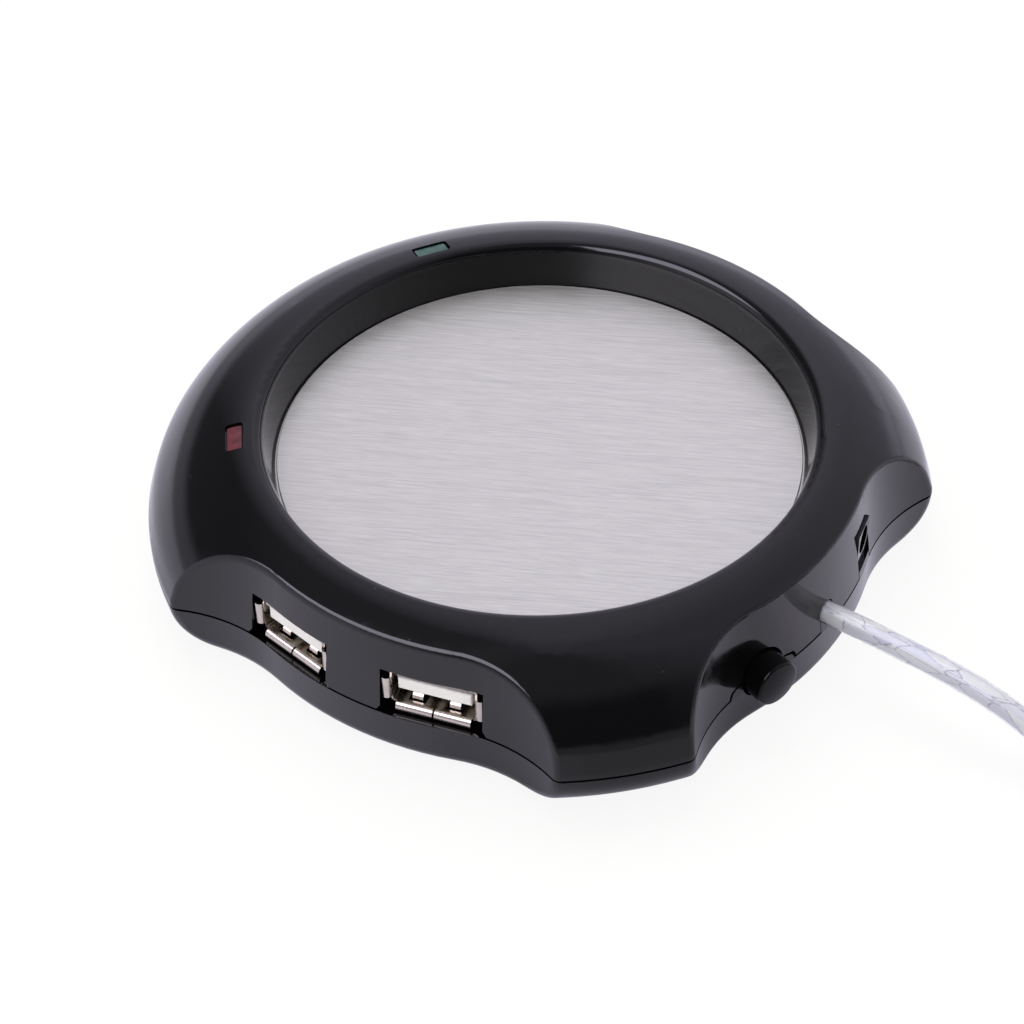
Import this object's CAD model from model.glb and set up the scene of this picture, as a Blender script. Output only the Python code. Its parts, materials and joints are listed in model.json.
import json
from math import ceil, cos, pi, radians, sin

import bpy
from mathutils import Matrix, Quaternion, Vector

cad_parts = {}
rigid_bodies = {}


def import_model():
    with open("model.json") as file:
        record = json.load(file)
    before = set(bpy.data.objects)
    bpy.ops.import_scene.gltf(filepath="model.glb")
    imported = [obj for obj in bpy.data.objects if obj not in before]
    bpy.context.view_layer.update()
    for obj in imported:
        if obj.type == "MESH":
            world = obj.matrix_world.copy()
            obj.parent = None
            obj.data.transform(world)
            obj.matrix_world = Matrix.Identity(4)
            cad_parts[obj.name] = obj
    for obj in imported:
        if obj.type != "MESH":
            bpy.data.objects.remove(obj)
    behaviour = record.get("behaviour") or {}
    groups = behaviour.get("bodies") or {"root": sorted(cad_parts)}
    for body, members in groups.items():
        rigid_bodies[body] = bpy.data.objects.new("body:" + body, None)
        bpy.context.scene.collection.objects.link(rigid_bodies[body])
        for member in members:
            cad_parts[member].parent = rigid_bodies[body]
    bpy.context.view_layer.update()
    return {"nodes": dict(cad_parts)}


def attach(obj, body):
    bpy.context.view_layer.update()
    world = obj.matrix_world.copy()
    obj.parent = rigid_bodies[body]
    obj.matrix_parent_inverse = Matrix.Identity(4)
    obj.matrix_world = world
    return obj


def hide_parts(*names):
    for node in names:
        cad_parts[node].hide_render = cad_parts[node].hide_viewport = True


# Electric mug warmer with a four-port hub in its rim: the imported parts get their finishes, and the cord
# is laid along its route. Metres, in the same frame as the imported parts: the origin is the well's axis
# on the table, +Z is up and the cord leaves towards +Y.

mm = 0.001

# ------------------------------------------------------------------------------ camera
camera_target = Vector((13.8, 4.87, 16.7)) * mm
camera_azimuth = 36.9  # degrees from +X towards +Y
camera_elevation = 42.97
camera_distance = 412.4 * mm
camera_roll = -1.43
camera_lens = 97.9

# ------------------------------------------------------------------------------ studio
table_size = 6.0
table_glow = 0.9  # share of the table that is plain white; the rest keeps the shadow
table_blend = (110, 450)  # millimetres from the axis: the table near the case, and the room's far floor
gloss_tint = "#f0ecff"  # the room is a little lavender in the case's gloss
gloss_gain = 1.14  # the tint's loss of light given back
# The room in the case's gloss: broad sides that blend into each other and close at the first one. Each has
# the azimuths from +X where it starts and ends, and its brightness low down, high up, along the horizon and
# overhead.
room_sides = [
    (-180, -175, 0.55, 0.55, 0.95, 0.45),
    (-155, -140, 0.70, 0.65, 0.95, 0.45),
    (-110, -75, 0.10, 0.20, 0.40, 0.30),
    (-55, -25, 0.75, 0.30, 0.90, 0.25),
    (20, 70, 0.05, 0.20, 0.30, 0.20),
    (120, 155, 0.50, 0.45, 0.60, 0.40),
]
# Brightness of the table beside the case, by azimuth: a darker wedge under the darkest side.
table_shades = [(15, 1.0), (45, 0.45), (70, 0.45), (95, 1.0)]
low_to_high = (38, 58)  # degrees of elevation over which low down turns into high up
ceiling_edge = (76, 88)
horizon_edge = (13, 4)
# A white panel high on the right, in degrees: brightness, then where each of its sides fades in.
panel_brightness = 3.9
panel_left, panel_right = (14, 8), (-71, -63)
panel_low, panel_high = (32, 38), (73, 64)
room_light = 0.75  # strength of the light that the room casts on the object
lamp_place = (-0.25, -0.35, 0.90)
lamp_size = 0.60
lamp_watts = 6.0

# ------------------------------------------------------------------------------ cord
cord_radius = 1.75 * mm
screen_radius = 1.05 * mm
screen_sides = 20
foil_facet = (5.2, 1.2)  # mm, along and round
foil_slant = 4.0  # degrees between the foil's folds and the cord
# The stretch that leaves the case, sinks to the table and meets its coil.
cord_route = [
    (0.0, 38.5, 11.1),
    (0.0, 55.0, 11.15),
    (0.0, 80.0, 10.15),
    (0.0, 95.5, 1.8),
    (0.0, 110.0, 2.35),
]
coil_centre = (-23.5, 110.0)
coil_tracks = (16.5, 20.0, 23.5)  # turns side by side
coil_layers = (2.35, 5.65, 8.95)  # turns on each other
# Track and layer of each turn: out at the bottom, up through the middle, and back down to the table.
coil_turns = [(2, 0), (1, 0), (0, 0), (0, 1), (0, 2), (1, 2), (1, 1), (2, 2), (2, 1), (2, 0)]
points_in_turn = 18
change_start, change_end = 70.0, 110.0  # a turn changes its track under the tie
coil_exit_angle = 150.0
tail_length = 18.5
plug_rise = 4.1


# ------------------------------------------------------------------------------ helpers
def linear(colour):
    """Linear RGBA of an sRGB hex colour."""
    channels = [int(colour[i : i + 2], 16) / 255 for i in (1, 3, 5)]
    return (*[c / 12.92 if c <= 0.04045 else ((c + 0.055) / 1.055) ** 2.4 for c in channels], 1.0)


def per_mm(size):
    """Texture scale, in metre coordinates, of a pattern with features of this size in millimetres."""
    return 1 / (size * mm)


# A Mix node's sockets share their names, so they go by number: for numbers, then for colours.
number_a, number_b = 2, 3
colour_a, colour_b, mixed_colour = 6, 7, 2


def adder(tree):
    """Empty a node tree, and give the function that adds nodes to it."""
    tree.nodes.clear()

    def add(kind, sockets=None, **settings):
        """Add a node. Each socket, by name or number, takes a value or another node's output."""
        node = tree.nodes.new("ShaderNode" + kind)
        for name, value in settings.items():
            setattr(node, name, value)
        for name, value in (sockets or {}).items():
            if isinstance(value, bpy.types.NodeSocket):
                tree.links.new(value, node.inputs[name])
            else:
                node.inputs[name].default_value = value
        return node

    return add


def ramp_round_the_case(add, azimuth, stops):
    """Outputs of a ramp by azimuth, whose stops are an azimuth in degrees and four channels each."""
    around = add("MapRange", {"Value": azimuth, "From Min": -pi, "From Max": pi}).outputs[0]
    node = add("ValToRGB", {"Fac": around})
    elements = node.color_ramp.elements
    while len(elements) > 1:
        elements.remove(elements[-1])
    for index, (degrees_round, channels) in enumerate(stops):
        place = (degrees_round + 180) / 360
        stop = elements.new(place) if index else elements[0]
        stop.position = place
        stop.color = channels
    return node.outputs


def room_stops():
    """Stops of the room's sides: low down, high up, along the horizon and overhead."""
    stops = [(edge, levels) for start, end, *levels in room_sides for edge in (start, end)]
    return [*stops, (180, stops[0][1])]


def new_finish(name):
    """Material with an empty node tree, and the function that adds nodes to it."""
    material = bpy.data.materials.new(name)
    material.use_nodes = True
    return material, adder(material.node_tree)


# ------------------------------------------------------------------------------ finishes
def polished_black_abs(name, waviness=0.02, shine=0.5):
    """ABS moulded in a polished tool: near black and wet-looking, slowly wavy, with a little dust on it."""
    material, add = new_finish(name)
    place = add("TexCoord").outputs["Object"]
    flow = add("TexNoise", {"Vector": place, "Scale": per_mm(9.0), "Detail": 1.0}).outputs["Fac"]
    skin = add("TexNoise", {"Vector": place, "Scale": per_mm(0.9), "Detail": 3.0}).outputs["Fac"]
    grains = add("TexVoronoi", {"Vector": place, "Scale": per_mm(1.4)}).outputs
    chosen = add("SeparateColor", {"Color": grains["Color"]}).outputs["Red"]
    rare = add("MapRange", {"Value": chosen, "From Min": 0.965, "From Max": 0.975}).outputs[0]
    near = add("MapRange", {"Value": grains["Distance"], "From Min": 0.11, "From Max": 0.06}).outputs[0]
    dust = add("Math", {0: rare, 1: near}, operation="MULTIPLY").outputs[0]
    colour = add(
        "Mix", {"Factor": dust, colour_a: linear("#09090a"), colour_b: linear("#3e3e43")}, data_type="RGBA"
    ).outputs[mixed_colour]
    gloss = add(
        "MapRange", {"Value": skin, "From Min": 0.3, "From Max": 0.75, "To Min": 0.06, "To Max": 0.11}
    ).outputs[0]
    waves = add("Bump", {"Height": flow, "Distance": waviness * mm}).outputs[0]
    fine = add("Bump", {"Height": skin, "Distance": 0.0012 * mm, "Normal": waves}).outputs[0]
    surface = add(
        "BsdfPrincipled",
        {
            "Base Color": colour,
            "Roughness": gloss,
            "IOR": 1.53,
            "Specular IOR Level": shine,
            "Normal": fine,
        },
    ).outputs[0]
    add("OutputMaterial", {"Surface": surface})
    return material


def brushed_aluminium(name, direction=118.0):
    """Aluminium sheet brushed one way: satin and pale, with hair-fine streaks and a few longer marks."""
    material, add = new_finish(name)
    place = add("TexCoord").outputs["Object"]
    turn = (0, 0, radians(direction))
    streaks = []
    # Shift of each pattern, the length and width of its marks in millimetres, and its detail: hairs,
    # longer threads and soft bands.
    patterns = ((0.0, 3.0, 0.13, 3.0), (0.3, 8.0, 0.28, 2.0), (0.7, 26.0, 2.4, 1.0))
    for shift, length, width, detail in patterns:
        drawn = add(
            "Mapping",
            {
                "Vector": place,
                "Location": (shift, shift, shift),
                "Rotation": turn,
                "Scale": (length * mm, width * mm, 1.0),
            },
            vector_type="TEXTURE",
        ).outputs[0]
        noise = add("TexNoise", {"Vector": drawn, "Scale": 1.0, "Detail": detail, "Roughness": 0.6})
        streaks.append(noise.outputs["Fac"])
    hairs, threads, bands = streaks
    hair_share = add("MapRange", {"Value": hairs, "From Min": 0.3, "From Max": 0.7}).outputs[0]
    thread_share = add(
        "MapRange", {"Value": threads, "From Min": 0.35, "From Max": 0.6, "To Min": 0.55, "To Max": 0.0}
    ).outputs[0]
    band_share = add(
        "MapRange", {"Value": bands, "From Min": 0.35, "From Max": 0.65, "To Max": 0.3}
    ).outputs[0]
    tone = add(
        "Mix",
        {"Factor": hair_share, colour_a: linear("#e6e5e0"), colour_b: linear("#fbfaf3")},
        data_type="RGBA",
    ).outputs[mixed_colour]
    threaded = add(
        "Mix", {"Factor": thread_share, colour_a: tone, colour_b: linear("#cfcdc8")}, data_type="RGBA"
    ).outputs[mixed_colour]
    banded = add(
        "Mix", {"Factor": band_share, colour_a: threaded, colour_b: linear("#efede7")}, data_type="RGBA"
    ).outputs[mixed_colour]
    rough = add(
        "MapRange", {"Value": threads, "From Min": 0.25, "From Max": 0.75, "To Min": 0.3, "To Max": 0.42}
    ).outputs[0]
    grooves = add("Bump", {"Height": hairs, "Distance": 0.014 * mm}).outputs[0]
    brushed = add("Bump", {"Height": threads, "Distance": 0.008 * mm, "Normal": grooves}).outputs[0]
    across = add("CombineXYZ", {"X": -sin(turn[2]), "Y": cos(turn[2])}).outputs[0]
    surface = add(
        "BsdfPrincipled",
        {
            "Base Color": banded,
            "Metallic": 0.85,
            "Roughness": rough,
            "Anisotropic": 0.6,
            "Tangent": across,
            "Normal": brushed,
        },
    ).outputs[0]
    add("OutputMaterial", {"Surface": surface})
    return material


def nickel_plated_steel(name):
    """Nickel-plated steel of a socket: bright soft mirror at its rolled mouth, dull and brown further in."""
    material, add = new_finish(name)
    place = add("TexCoord").outputs["Object"]
    level = add("VectorMath", {0: place, 1: (1, 1, 0)}, operation="MULTIPLY").outputs[0]
    from_axis = add("VectorMath", {0: level}, operation="LENGTH").outputs["Value"]
    mouth, dull = 48.3 * mm, 46.8 * mm  # from the well's axis
    inside = add(
        "MapRange", {"Value": from_axis, "From Min": mouth, "From Max": dull, "To Max": 0.85}
    ).outputs[0]
    marks = add("TexNoise", {"Vector": place, "Scale": per_mm(0.3), "Detail": 4.0}).outputs["Fac"]
    cloud = add("TexNoise", {"Vector": place, "Scale": per_mm(1.6)}).outputs["Fac"]
    bright = add(
        "Mix", {"Factor": cloud, colour_a: linear("#d8d0c6"), colour_b: linear("#bdb3a8")}, data_type="RGBA"
    ).outputs[mixed_colour]
    colour = add(
        "Mix", {"Factor": inside, colour_a: bright, colour_b: linear("#4a3c34")}, data_type="RGBA"
    ).outputs[mixed_colour]
    rough = add(
        "MapRange", {"Value": marks, "From Min": 0.3, "From Max": 0.7, "To Min": 0.16, "To Max": 0.3}
    ).outputs[0]
    pressed = add("Bump", {"Height": marks, "Distance": 0.002 * mm}).outputs[0]
    surface = add(
        "BsdfPrincipled", {"Base Color": colour, "Metallic": 1.0, "Roughness": rough, "Normal": pressed}
    ).outputs[0]
    add("OutputMaterial", {"Surface": surface})
    return material


def sheet_metal(name, light, dark, gloss):
    """Plated or plain sheet metal: a soft mirror with faint clouding and fine marks from pressing."""
    material, add = new_finish(name)
    place = add("TexCoord").outputs["Object"]
    cloud = add("TexNoise", {"Vector": place, "Scale": per_mm(2.0)}).outputs["Fac"]
    marks = add("TexNoise", {"Vector": place, "Scale": per_mm(0.25), "Detail": 4.0}).outputs["Fac"]
    share = add("MapRange", {"Value": cloud, "From Min": 0.3, "From Max": 0.7}).outputs[0]
    colour = add(
        "Mix", {"Factor": share, colour_a: linear(dark), colour_b: linear(light)}, data_type="RGBA"
    ).outputs[mixed_colour]
    rough = add(
        "MapRange",
        {"Value": marks, "From Min": 0.3, "From Max": 0.7, "To Min": gloss, "To Max": gloss + 0.12},
    ).outputs[0]
    pressed = add("Bump", {"Height": marks, "Distance": 0.002 * mm}).outputs[0]
    surface = add(
        "BsdfPrincipled", {"Base Color": colour, "Metallic": 1.0, "Roughness": rough, "Normal": pressed}
    ).outputs[0]
    add("OutputMaterial", {"Surface": surface})
    return material


def moulded(name, main, shade, gloss, depth=0.004, through=0.0):
    """Plain moulded resin or rubber: even colour with faint flow shading and a fine grain from the tool."""
    material, add = new_finish(name)
    place = add("TexCoord").outputs["Object"]
    flow = add("TexNoise", {"Vector": place, "Scale": per_mm(4.0)}).outputs["Fac"]
    grain = add("TexNoise", {"Vector": place, "Scale": per_mm(0.4), "Detail": 3.0}).outputs["Fac"]
    share = add("MapRange", {"Value": flow, "From Min": 0.3, "From Max": 0.7}).outputs[0]
    colour = add(
        "Mix", {"Factor": share, colour_a: linear(main), colour_b: linear(shade)}, data_type="RGBA"
    ).outputs[mixed_colour]
    rough = add(
        "MapRange",
        {"Value": grain, "From Min": 0.3, "From Max": 0.7, "To Min": gloss, "To Max": gloss + 0.1},
    ).outputs[0]
    surface = add(
        "BsdfPrincipled",
        {
            "Base Color": colour,
            "Roughness": rough,
            "IOR": 1.5,
            "Subsurface Weight": through,
            "Subsurface Radius": (1.0 * mm, 0.9 * mm, 0.8 * mm),
            "Normal": add("Bump", {"Height": grain, "Distance": depth * mm}).outputs[0],
        },
    ).outputs[0]
    add("OutputMaterial", {"Surface": surface})
    return material


def tinted_resin(name, deep, light):
    """Cast tinted resin of an unlit light: dark and saturated, a paler core under a clear skin."""
    material, add = new_finish(name)
    place = add("TexCoord").outputs["Object"]
    core = add("TexNoise", {"Vector": place, "Scale": per_mm(1.6), "Detail": 1.0}).outputs["Fac"]
    skin = add("TexNoise", {"Vector": place, "Scale": per_mm(0.3)}).outputs["Fac"]
    share = add("MapRange", {"Value": core, "From Min": 0.35, "From Max": 0.65}).outputs[0]
    colour = add(
        "Mix", {"Factor": share, colour_a: linear(deep), colour_b: linear(light)}, data_type="RGBA"
    ).outputs[mixed_colour]
    rough = add(
        "MapRange", {"Value": skin, "From Min": 0.3, "From Max": 0.7, "To Min": 0.28, "To Max": 0.4}
    ).outputs[0]
    surface = add(
        "BsdfPrincipled",
        {"Base Color": colour, "Roughness": rough, "IOR": 1.52, "Coat Weight": 0.6, "Coat Roughness": 0.08},
    ).outputs[0]
    add("OutputMaterial", {"Surface": surface})
    return material


def solder_resist(name):
    """Glass-filled board under black solder resist: glossy black, its copper tracks raised and paler."""
    material, add = new_finish(name)
    place = add("TexCoord").outputs["Object"]
    weave = add("TexNoise", {"Vector": place, "Scale": per_mm(0.6)}).outputs["Fac"]
    tracks = add(
        "TexBrick",
        {"Vector": place, "Scale": per_mm(6.0), "Mortar Size": 0.05, "Brick Width": 1.0, "Row Height": 0.5},
    ).outputs["Fac"]
    base = add(
        "Mix", {"Factor": weave, colour_a: linear("#0c0d0f"), colour_b: linear("#161819")}, data_type="RGBA"
    ).outputs[mixed_colour]
    colour = add(
        "Mix", {"Factor": tracks, colour_a: base, colour_b: linear("#2a2c30")}, data_type="RGBA"
    ).outputs[mixed_colour]
    raised = add("Bump", {"Height": tracks, "Distance": 0.03 * mm}).outputs[0]
    surface = add(
        "BsdfPrincipled", {"Base Color": colour, "Roughness": 0.28, "IOR": 1.55, "Normal": raised}
    ).outputs[0]
    add("OutputMaterial", {"Surface": surface})
    return material


def glass_felt(name):
    """Needled glass fibre: off-white, quite matt, with short crossing fibres."""
    material, add = new_finish(name)
    place = add("TexCoord").outputs["Object"]
    fibres = add(
        "TexNoise", {"Vector": place, "Scale": per_mm(0.5), "Detail": 8.0, "Roughness": 0.75}
    ).outputs["Fac"]
    share = add("MapRange", {"Value": fibres, "From Min": 0.35, "From Max": 0.65}).outputs[0]
    colour = add(
        "Mix", {"Factor": share, colour_a: linear("#b9b6a8"), colour_b: linear("#e2e0d6")}, data_type="RGBA"
    ).outputs[mixed_colour]
    tufted = add("Bump", {"Height": fibres, "Distance": 0.15 * mm}).outputs[0]
    surface = add(
        "BsdfPrincipled", {"Base Color": colour, "Roughness": 0.9, "Sheen Weight": 0.3, "Normal": tufted}
    ).outputs[0]
    add("OutputMaterial", {"Surface": surface})
    return material


def etched_film(name):
    """Amber polyimide film with an etched heater track in it: rows of metal foil under a glossy film."""
    material, add = new_finish(name)
    place = add("TexCoord").outputs["Object"]
    rows = add(
        "TexWave", {"Vector": place, "Scale": per_mm(3.0) / (2 * pi), "Distortion": 0.0}, bands_direction="X"
    ).outputs["Fac"]
    share = add("MapRange", {"Value": rows, "From Min": 0.45, "From Max": 0.55}).outputs[0]
    colour = add(
        "Mix", {"Factor": share, colour_a: linear("#8a4d12"), colour_b: linear("#c79a5a")}, data_type="RGBA"
    ).outputs[mixed_colour]
    raised = add("Bump", {"Height": rows, "Distance": 0.03 * mm}).outputs[0]
    surface = add(
        "BsdfPrincipled", {"Base Color": colour, "Roughness": 0.25, "IOR": 1.7, "Normal": raised}
    ).outputs[0]
    add("OutputMaterial", {"Surface": surface})
    return material


def clear_pvc(name):
    """Clear PVC drawn over the cord's foil: soft and glassy, faintly blue, with slow ripples from drawing."""
    material, add = new_finish(name)
    place = add("TexCoord").outputs["Object"]
    ripple = add("TexNoise", {"Vector": place, "Scale": per_mm(2.5)}).outputs["Fac"]
    surface = add(
        "BsdfPrincipled",
        {
            "Base Color": linear("#f6f6fc"),
            "Roughness": 0.05,
            "IOR": 1.5,
            "Transmission Weight": 1.0,
            "Normal": add("Bump", {"Height": ripple, "Distance": 0.05 * mm}).outputs[0],
        },
    ).outputs[0]
    add("OutputMaterial", {"Surface": surface})
    return material


def lapped_foil(name):
    """Aluminium foil lapped round the cord's wires: pale flat facets between thin irregular creases."""
    material, add = new_finish(name)
    place = add("TexCoord").outputs["UV"]
    round_it = 2 * pi * screen_radius / mm
    laid = add(
        "Mapping",
        {
            "Vector": place,
            "Rotation": (0, 0, radians(foil_slant)),
            "Scale": (1 / foil_facet[0], round_it / foil_facet[1], 1.0),
        },
    ).outputs[0]
    sway = add("TexNoise", {"Vector": laid, "Scale": 1.3, "Detail": 1.0}).outputs["Color"]
    bent = add("VectorMath", {0: sway, 1: (0.2, 0.2, 0.0), 2: laid}, operation="MULTIPLY_ADD").outputs[0]
    edges = add("TexVoronoi", {"Vector": bent, "Scale": 1.0}, feature="DISTANCE_TO_EDGE").outputs["Distance"]
    facets = add("TexVoronoi", {"Vector": bent, "Scale": 1.0}).outputs
    tilt = add("SeparateColor", {"Color": facets["Color"]}).outputs["Red"]
    crumple = add("TexNoise", {"Vector": bent, "Scale": 4.5, "Detail": 3.0}).outputs["Fac"]
    broken = add(
        "MapRange", {"Value": crumple, "From Min": 0.35, "From Max": 0.6, "To Min": 0.2}
    ).outputs[0]
    crease = add(
        "MapRange", {"Value": edges, "From Min": 0.04, "From Max": 0.012, "To Max": 0.7}
    ).outputs[0]
    lines = add("Math", {0: crease, 1: broken}, operation="MULTIPLY").outputs[0]
    tone = add(
        "Mix", {"Factor": tilt, colour_a: linear("#e6e6f6"), colour_b: linear("#ffffff")}, data_type="RGBA"
    ).outputs[mixed_colour]
    colour = add(
        "Mix", {"Factor": lines, colour_a: tone, colour_b: linear("#8c8ea2")}, data_type="RGBA"
    ).outputs[mixed_colour]
    folded = add("Bump", {"Height": edges, "Distance": 0.06 * mm}).outputs[0]
    dented = add("Bump", {"Height": crumple, "Distance": 0.05 * mm, "Normal": folded}).outputs[0]
    surface = add(
        "BsdfPrincipled", {"Base Color": colour, "Metallic": 0.1, "Roughness": 0.36, "Normal": dented}
    ).outputs[0]
    add("OutputMaterial", {"Surface": surface})
    return material


def white_table(name):
    """Table and backdrop of white paper, which keeps a soft shadow of what stands on it."""
    material, add = new_finish(name)
    place = add("NewGeometry").outputs["Position"]
    axes = add("SeparateXYZ", {"Vector": place}).outputs
    azimuth = add("Math", {0: axes["Y"], 1: axes["X"]}, operation="ARCTAN2").outputs[0]
    beside = ramp_round_the_case(add, azimuth, [(edge, [shade] * 4) for edge, shade in table_shades])
    sides = ramp_round_the_case(add, azimuth, room_stops())
    horizon = add("SeparateColor", {"Color": sides["Color"]}).outputs["Blue"]
    distance = add("VectorMath", {0: place}, operation="LENGTH").outputs["Value"]
    nearest, furthest = table_blend
    far = add(
        "MapRange",
        {"Value": distance, "From Min": nearest * mm, "From Max": furthest * mm},
        interpolation_type="SMOOTHSTEP",
    ).outputs[0]
    mirrored = add("Mix", {"Factor": far, number_a: beside["Alpha"], number_b: horizon}).outputs[0]
    tinted = add(
        "Mix",
        {"Factor": mirrored, colour_a: linear("#000000"), colour_b: linear(gloss_tint)},
        data_type="RGBA",
    ).outputs[mixed_colour]
    ray = add("LightPath").outputs
    straight = add(
        "Math", {0: ray["Is Camera Ray"], 1: ray["Is Transmission Ray"]}, operation="MAXIMUM"
    ).outputs[0]
    seen = add("Math", {0: straight, 1: ray["Is Glossy Ray"]}, operation="MAXIMUM").outputs[0]
    shown = add(
        "Mix", {"Factor": straight, colour_a: tinted, colour_b: linear("#ffffff")}, data_type="RGBA"
    ).outputs[mixed_colour]
    glow_share = add("Math", {0: seen, 1: table_glow}, operation="MULTIPLY").outputs[0]
    paper = add("BsdfDiffuse", {"Color": linear("#fbf8f5")}).outputs[0]
    glow = add("Emission", {"Color": shown, "Strength": 1.0}).outputs[0]
    mixed = add("MixShader", {0: glow_share, 1: paper, 2: glow}).outputs[0]
    add("OutputMaterial", {"Surface": mixed})
    return material


# ------------------------------------------------------------------------------ camera and studio
def make_camera():
    """Camera aimed at the well from behind and to the right of the case."""
    azimuth, elevation = radians(camera_azimuth), radians(camera_elevation)
    back = Vector((cos(elevation) * cos(azimuth), cos(elevation) * sin(azimuth), sin(elevation)))
    camera = bpy.data.objects.new("camera", bpy.data.cameras.new("camera"))
    bpy.context.scene.collection.objects.link(camera)
    camera.data.lens = camera_lens
    camera.data.sensor_width = 36.0
    camera.data.clip_start = 0.01
    camera.data.clip_end = 20.0
    camera.location = camera_target + back * camera_distance
    camera.rotation_mode = "QUATERNION"
    roll = Quaternion((0, 0, 1), radians(camera_roll))
    camera.rotation_quaternion = (-back).to_track_quat("-Z", "Y") @ roll
    bpy.context.scene.camera = camera


def make_table():
    """White table under the object."""
    mesh = bpy.data.meshes.new("table")
    half = table_size / 2
    corners = [(-half, -half, 0), (half, -half, 0), (half, half, 0), (-half, half, 0)]
    mesh.from_pydata(corners, [], [(0, 1, 2, 3)])
    table = bpy.data.objects.new("table", mesh)
    bpy.context.scene.collection.objects.link(table)
    mesh.materials.append(white_table("white_paper_sweep"))


def make_lamp():
    """Soft box over the table, which the case's gloss doesn't show."""
    light = bpy.data.lights.new("overhead", "AREA")
    light.shape = "SQUARE"
    light.size = lamp_size
    light.energy = lamp_watts
    lamp = bpy.data.objects.new("overhead", light)
    bpy.context.scene.collection.objects.link(lamp)
    lamp.location = lamp_place
    lamp.rotation_mode = "QUATERNION"
    lamp.rotation_quaternion = (-Vector(lamp_place)).to_track_quat("-Z", "Y")
    lamp.visible_glossy = False


def make_room():
    """White studio that lights evenly, and that the case's gloss shows as dim walls and one white panel."""
    world = bpy.data.worlds.new("room")
    bpy.context.scene.world = world
    world.use_nodes = True
    add = adder(world.node_tree)
    direction = add("TexCoord").outputs["Generated"]
    axes = add("SeparateXYZ", {"Vector": direction}).outputs
    azimuth = add("Math", {0: axes["Y"], 1: axes["X"]}, operation="ARCTAN2").outputs[0]
    elevation = add("Math", {0: axes["Z"]}, operation="ARCSINE").outputs[0]
    walls = ramp_round_the_case(add, azimuth, room_stops())
    heights = add("SeparateColor", {"Color": walls["Color"]}).outputs
    fades = []
    for value, (start, end) in (
        (elevation, low_to_high),
        (elevation, ceiling_edge),
        (elevation, horizon_edge),
        (azimuth, panel_left),
        (azimuth, panel_right),
        (elevation, panel_low),
        (elevation, panel_high),
    ):
        fade = add(
            "MapRange",
            {"Value": value, "From Min": radians(start), "From Max": radians(end)},
            interpolation_type="SMOOTHSTEP",
        )
        fades.append(fade.outputs[0])
    raised, overhead, level, *sides = fades
    side = add(
        "Mix", {"Factor": raised, number_a: heights["Red"], number_b: heights["Green"]}
    ).outputs[0]
    domed = add("Mix", {"Factor": overhead, number_a: side, number_b: walls["Alpha"]}).outputs[0]
    lined = add("Mix", {"Factor": level, number_a: domed, number_b: heights["Blue"]}).outputs[0]
    panel = sides[0]
    for edge in sides[1:]:
        panel = add("Math", {0: panel, 1: edge}, operation="MULTIPLY").outputs[0]
    bright = add("Mix", {"Factor": panel, number_a: lined, number_b: panel_brightness}).outputs[0]
    shown = add("Math", {0: bright, 1: gloss_gain}, operation="MULTIPLY").outputs[0]
    ray = add("LightPath").outputs
    straight = add(
        "Math", {0: ray["Is Camera Ray"], 1: ray["Is Transmission Ray"]}, operation="MAXIMUM"
    ).outputs[0]
    light = add("Background", {"Color": linear("#fdfbfa"), "Strength": room_light}).outputs[0]
    gloss = add("Background", {"Color": linear(gloss_tint), "Strength": shown}).outputs[0]
    page = add("Background", {"Color": linear("#ffffff"), "Strength": 1.0}).outputs[0]
    lit = add("MixShader", {0: ray["Is Glossy Ray"], 1: light, 2: gloss}).outputs[0]
    seen = add("MixShader", {0: straight, 1: lit, 2: page}).outputs[0]
    add("OutputWorld", {"Surface": seen})


# ------------------------------------------------------------------------------ cord
def smooth_step(value):
    """Ease from 0 to 1."""
    value = min(max(value, 0.0), 1.0)
    return value * value * (3 - 2 * value)


def coil_points():
    """Turns of the coil, in millimetres: each keeps its track and layer, and changes them under the tie."""
    last = (len(coil_turns) - 2) * 360 + coil_exit_angle
    step = 360 / points_in_turn
    points = []
    for index in range(1, ceil(last / step)):
        angle = index * step
        turn = int((angle - change_start) // 360)
        within = (angle - change_start) % 360
        here = coil_turns[min(max(turn + 1, 0), len(coil_turns) - 1)]
        before = coil_turns[min(max(turn, 0), len(coil_turns) - 1)]
        share = smooth_step(within / (change_end - change_start))
        radius = coil_tracks[before[0]] * (1 - share) + coil_tracks[here[0]] * share
        height = coil_layers[before[1]] * (1 - share) + coil_layers[here[1]] * share
        around = radians(angle)
        across, along = radius * cos(around), radius * sin(around)
        points.append((coil_centre[0] + across, coil_centre[1] + along, height))
    return points


def tail_points():
    """From the coil to the plug, in millimetres."""
    leave = radians(coil_exit_angle)
    start = (coil_centre[0] + coil_tracks[2] * cos(leave), coil_centre[1] + coil_tracks[2] * sin(leave))
    heading = (cos(leave + pi / 2), sin(leave + pi / 2))
    # Share of the tail, and its height there.
    stops = ((0.0, coil_layers[0]), (0.3, coil_layers[0]), (0.68, plug_rise), (1.0, plug_rise))
    return [
        (start[0] + share * tail_length * heading[0], start[1] + share * tail_length * heading[1], height)
        for share, height in stops
    ]


def curve_along(name, points, radius):
    """Round smooth cord whose NURBS control points are these, in millimetres, or its bare line."""
    curve = bpy.data.curves.new(name, "CURVE")
    curve.dimensions = "3D"
    spline = curve.splines.new("NURBS")
    spline.points.add(len(points) - 1)
    for point, place in zip(spline.points, points):
        point.co = (*[c * mm for c in place], 1.0)
    spline.order_u = 3
    spline.use_endpoint_u = True
    spline.resolution_u = 8
    curve.bevel_depth = radius
    curve.bevel_resolution = 8
    curve.use_fill_caps = True
    cord = bpy.data.objects.new(name, curve)
    bpy.context.scene.collection.objects.link(cord)
    return cord


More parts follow.
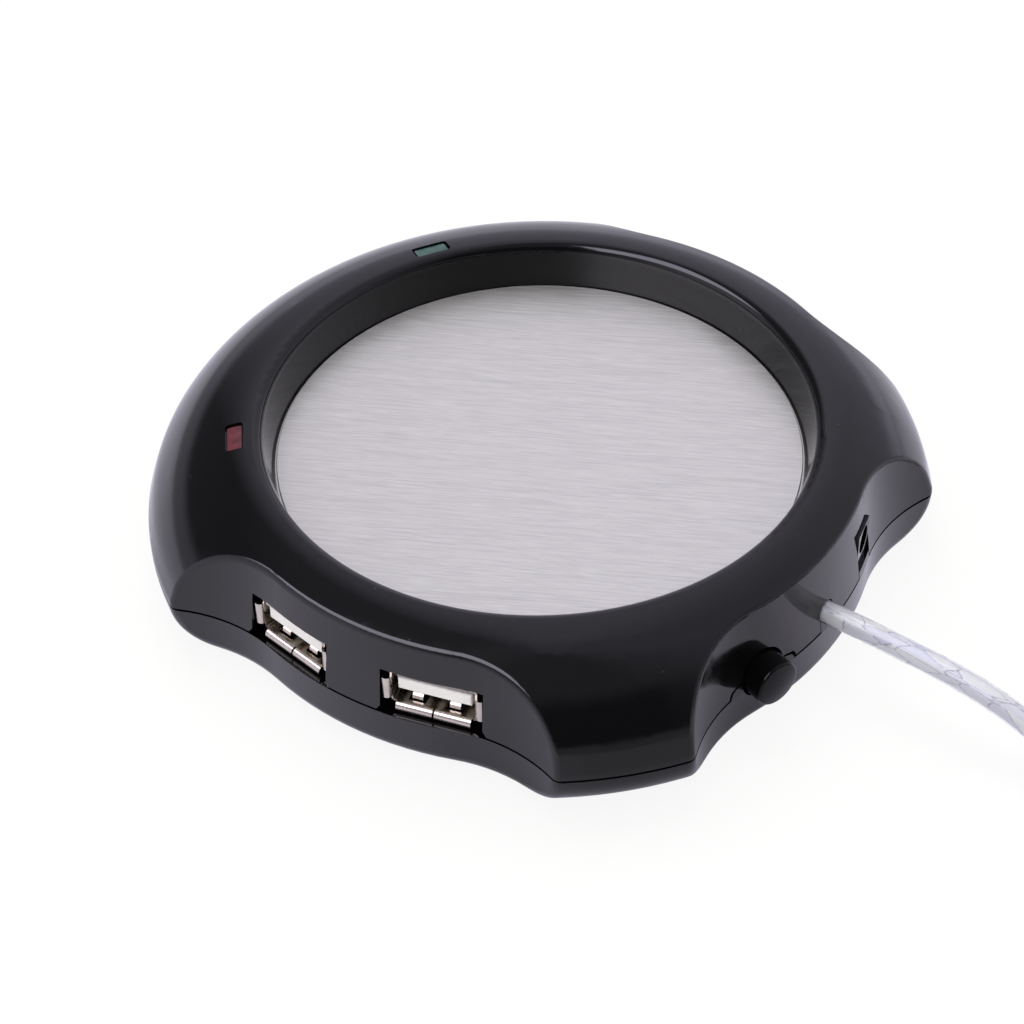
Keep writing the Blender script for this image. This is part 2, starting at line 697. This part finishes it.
def line_of(points):
    """Points along the smooth spline of these control points, in metres."""
    spline = curve_along("cord_line", points, 0.0)
    traced = bpy.data.meshes.new_from_object(spline)
    line = [vertex.co.copy() for vertex in traced.vertices]
    bpy.data.meshes.remove(traced)
    bpy.data.objects.remove(spline)
    return line


def make_screen(line):
    """Foil screen down the middle of the jacket, with how far along and how far round in its UV."""
    earlier, later = [line[0], *line], [*line[1:], line[-1]]
    headings = [(after - before).normalized() for before, after in zip(earlier, later)]
    side = headings[0].orthogonal().normalized()
    travelled = [0.0]
    for before, here in zip(line, line[1:]):
        travelled.append(travelled[-1] + (here - before).length)
    corners = []
    for place, heading in zip(line, headings):
        side = (side - heading * side.dot(heading)).normalized()
        across = heading.cross(side)
        for index in range(screen_sides):
            turn = 2 * pi * index / screen_sides
            corners.append(place + (side * cos(turn) + across * sin(turn)) * screen_radius)
    faces, unwrapped = [], []
    for ring in range(len(line) - 1):
        for index in range(screen_sides):
            beside = (index + 1) % screen_sides
            start = ring * screen_sides
            next_start = start + screen_sides
            faces.append((start + index, start + beside, next_start + beside, next_start + index))
            near, far = travelled[ring] / mm, travelled[ring + 1] / mm
            low, high = index / screen_sides, (index + 1) / screen_sides
            unwrapped.extend(((near, low), (near, high), (far, high), (far, low)))
    faces.append(tuple(reversed(range(screen_sides))))
    faces.append(tuple(range(len(corners) - screen_sides, len(corners))))
    unwrapped.extend([(0.0, 0.0)] * (2 * screen_sides))
    mesh = bpy.data.meshes.new("cord_screen")
    mesh.from_pydata(corners, [], faces)
    layer = mesh.uv_layers.new(name="along_and_round")
    for spot, place in zip(layer.data, unwrapped):
        spot.uv = place
    mesh.polygons.foreach_set("use_smooth", [True] * len(faces))
    screen = bpy.data.objects.new("cord_screen", mesh)
    bpy.context.scene.collection.objects.link(screen)
    mesh.materials.append(lapped_foil("lapped_aluminium_foil"))
    return screen


def make_cord():
    """Clear jacket over a foil screen, from the case through its coil to the plug."""
    points = [*cord_route, *coil_points(), *tail_points()]
    jacket = curve_along("cord_jacket", points, cord_radius)
    jacket.data.materials.append(clear_pvc("clear_pvc_jacket"))
    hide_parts("usb_cord", "cord_coil", "cord_tail")
    screen = make_screen(line_of(points))
    for piece in (jacket, screen):
        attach(piece, "warmer")
    return jacket, screen


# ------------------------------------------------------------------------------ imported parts
def dress(nodes):
    """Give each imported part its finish."""
    black = polished_black_abs("polished_black_abs")
    finishes = {
        "upper_shell": black,
        "lower_shell": black,
        "power_button": polished_black_abs("polished_black_abs_button", waviness=0.01, shine=0.2),
        "dc_jack_body": polished_black_abs("polished_black_abs_jack", waviness=0.005),
        "hot_plate": brushed_aluminium("brushed_aluminium_sheet"),
        "rubber_feet": moulded("moulded_rubber_feet", "#131313", "#1c1b1b", 0.6, depth=0.02),
        "green_light": tinted_resin("green_cast_epoxy", "#1f443c", "#345a51"),
        "red_light": tinted_resin("red_cast_epoxy", "#4c1c23", "#682a33"),
        "heater_element": etched_film("polyimide_heater_film"),
        "heater_insulation": glass_felt("glass_fibre_felt"),
        "heater_clamp_plate": sheet_metal("rolled_aluminium_sheet", "#c9c9cb", "#adadb0", 0.32),
        "thermal_cutoff": moulded("black_epoxy_case", "#1a1a1b", "#232324", 0.5),
        "circuit_board": solder_resist("black_solder_resist"),
        "hub_chip": moulded("black_epoxy_chip", "#18181a", "#222225", 0.55),
        "chip_resistors": moulded("black_glass_resistor", "#151517", "#1e1e22", 0.35),
        "crystal": sheet_metal("drawn_nickel_can", "#d6d4d0", "#bcbab6", 0.22),
        "capacitors": sheet_metal("drawn_aluminium_can", "#d2d3d6", "#b5b6ba", 0.3),
        "dc_jack_pin": sheet_metal("nickel_plated_pin", "#d9d5cc", "#bfbab0", 0.15),
        "switch_body": moulded("black_nylon_switch", "#151516", "#1e1e20", 0.45),
        "switch_plunger": moulded("white_acetal_plunger", "#e6e5e0", "#d8d7d2", 0.35, through=0.2),
        "cord_clamp": moulded("black_nylon_clamp", "#151516", "#1d1d1f", 0.45),
        "coil_tie": moulded("black_silicone_tie", "#111112", "#191919", 0.5, depth=0.02),
        "usb_plug_grip": moulded("white_pvc_grip", "#d9d9de", "#cfcfd6", 0.4, through=0.2),
        "usb_plug_shell": sheet_metal("nickel_plated_plug", "#dad6cf", "#c3beb6", 0.16),
        "usb_plug_insulator": moulded("white_nylon_plug", "#eeeeec", "#e2e2df", 0.35, through=0.2),
        "usb_plug_contacts": sheet_metal("gold_flashed_plug", "#f0cf86", "#d9b05c", 0.2),
    }
    for screws in ("case_screws", "board_screws", "heater_clamp_screws", "cord_clamp_screws", "light_legs"):
        finishes[screws] = sheet_metal(f"zinc_plated_{screws}", "#cfd0d2", "#aeb0b4", 0.25)
    for wires, main in (("heater_leads", "#8f1c18"), ("cord_wires", "#1f5c2c"), ("switch_wires", "#1b1b1c")):
        finishes[wires] = moulded(f"pvc_covered_{wires}", main, main, 0.4)
    socket_shell = nickel_plated_steel("nickel_plated_socket")
    socket_tongue = moulded("white_nylon_tongue", "#ffffff", "#fafafa", 0.3, through=0.1)
    socket_contacts = sheet_metal("gold_flashed_contact", "#f0cf86", "#d9b05c", 0.2)
    for side in ("left_front", "left_rear", "right_front", "right_rear"):
        finishes[f"usb_shell_{side}"] = socket_shell
        finishes[f"usb_insulator_{side}"] = socket_tongue
        finishes[f"usb_contacts_{side}"] = socket_contacts
    for name, material in finishes.items():
        mesh = nodes[name].data
        mesh.materials.clear()
        mesh.materials.append(material)


# ------------------------------------------------------------------------------ scene
for leftover in list(bpy.data.objects):
    bpy.data.objects.remove(leftover)
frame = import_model()

make_camera()
make_table()
make_lamp()
make_room()
bpy.context.scene.view_settings.view_transform = "Standard"

cord, cord_screen = make_cord()
dress(frame["nodes"])

bpy.context.view_layer.update()
